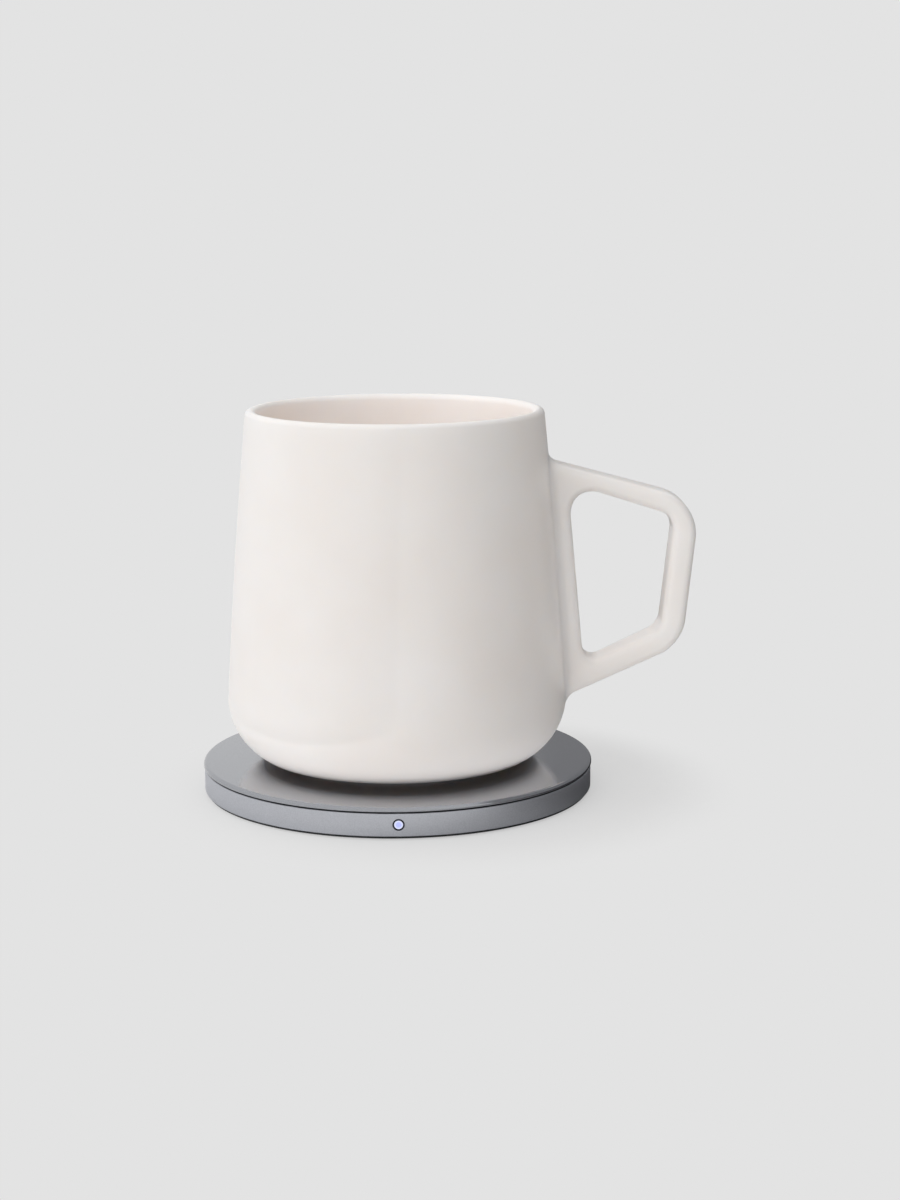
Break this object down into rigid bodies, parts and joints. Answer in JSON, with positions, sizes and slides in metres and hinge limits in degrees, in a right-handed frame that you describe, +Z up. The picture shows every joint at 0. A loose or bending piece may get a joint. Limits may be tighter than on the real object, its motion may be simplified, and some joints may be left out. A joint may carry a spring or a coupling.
{
  "type": "self-heating mug with warming pad",
  "caption": "White porcelain mug with a closed-loop handle and a heating plate in its base, standing on a round grey induction warming pad with a metal ring and an indicator light.",
  "frame": {"origin": "centre of the pad's underside, on the table", "axes": "+Z up, +X towards the handle, -Y towards the indicator light, +Y towards the power inlet"},
  "size_m": [0.1286, 0.102, 0.1001],
  "materials": {
    "porcelain": "satin white glaze",
    "grey_cover": "satin grey coat",
    "anodised_ring": "fine-blasted grey anodised",
    "dark_plastic": "moulded matt",
    "silicone_mat": "matt silicone",
    "steel": "bright steel",
    "bezel_plastic": "gloss black",
    "lit_lens": "clear light pipe, lit cool white",
    "led_body": "cast resin",
    "circuit_board": "green solder mask",
    "chip_resin": "moulded epoxy",
    "capacitor_ceramic": "fired ceramic with tinned ends",
    "ferrite": "sintered ferrite",
    "tray_plastic": "moulded heat-proof plastic",
    "litz_wire": "enamelled copper litz",
    "pale_silicone": "matt silicone",
    "sensor_resin": "dipped resin",
    "mica": "pressed mica sheet",
    "cap_plastic": "moulded off-white plastic"
  },
  "bodies": {
    "pad": {"top_cover": "grey_cover", "metal_ring": "anodised_ring", "base_cover": "dark_plastic", "foot_mat": "silicone_mat", "cover_screws": "steel", "indicator_bezel": "bezel_plastic", "indicator_lens": "lit_lens", "indicator_led": "led_body", "main_board": "circuit_board", "controller_chip": "chip_resin", "bridge_chips": "chip_resin", "resonance_capacitors": "capacitor_ceramic", "filter_inductor": "ferrite", "usb_socket": "steel", "usb_tongue": "dark_plastic", "coil_tray": "tray_plastic", "ferrite_disc": "ferrite", "power_coil": "litz_wire", "coil_leads": "litz_wire", "thermistor_boot": "pale_silicone", "thermistor": "sensor_resin"},
    "mug": {"mug_body": "porcelain", "mug_handle": "porcelain", "heating_plate": "steel", "insulating_disc": "mica", "base_cap": "cap_plastic", "base_seal": "pale_silicone"}
  },
  "joints": [
    {"name": "mug_lift", "type": "slide", "parent": "pad", "child": "mug", "axis": [0, 0, 1], "range_m": [0, 0.12]}
  ]
}
